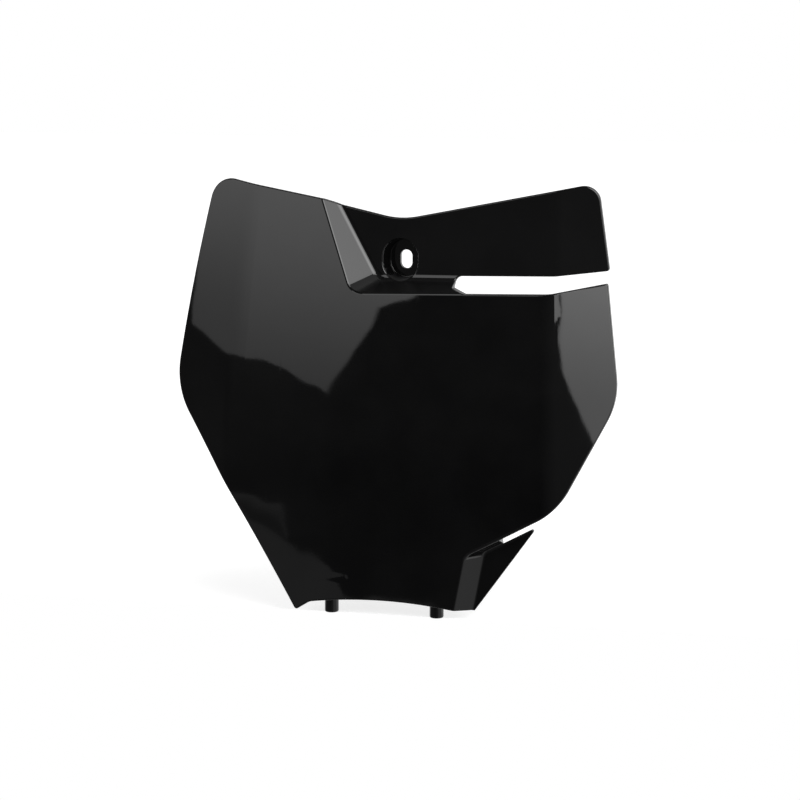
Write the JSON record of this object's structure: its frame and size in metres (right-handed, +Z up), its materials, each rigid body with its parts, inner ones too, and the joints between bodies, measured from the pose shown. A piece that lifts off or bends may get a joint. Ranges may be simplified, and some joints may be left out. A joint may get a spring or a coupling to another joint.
{
  "type": "racing number board",
  "caption": "Moulded front number board for an off-road motorbike, with folded side wings, a screw well, a hose slot, a set-back lower tab and locating pegs.",
  "frame": {"origin": "middle of the screw slot, on the rear face of the screw well", "axes": "+X to the right as the front is seen, +Y to the rear, +Z up, as the board stands on the motorbike"},
  "size_m": [0.2513, 0.0562, 0.2354],
  "materials": {
    "black_plastic": "gloss"
  },
  "bodies": {
    "root": {"number_board": "black_plastic"}
  },
  "joints": []
}
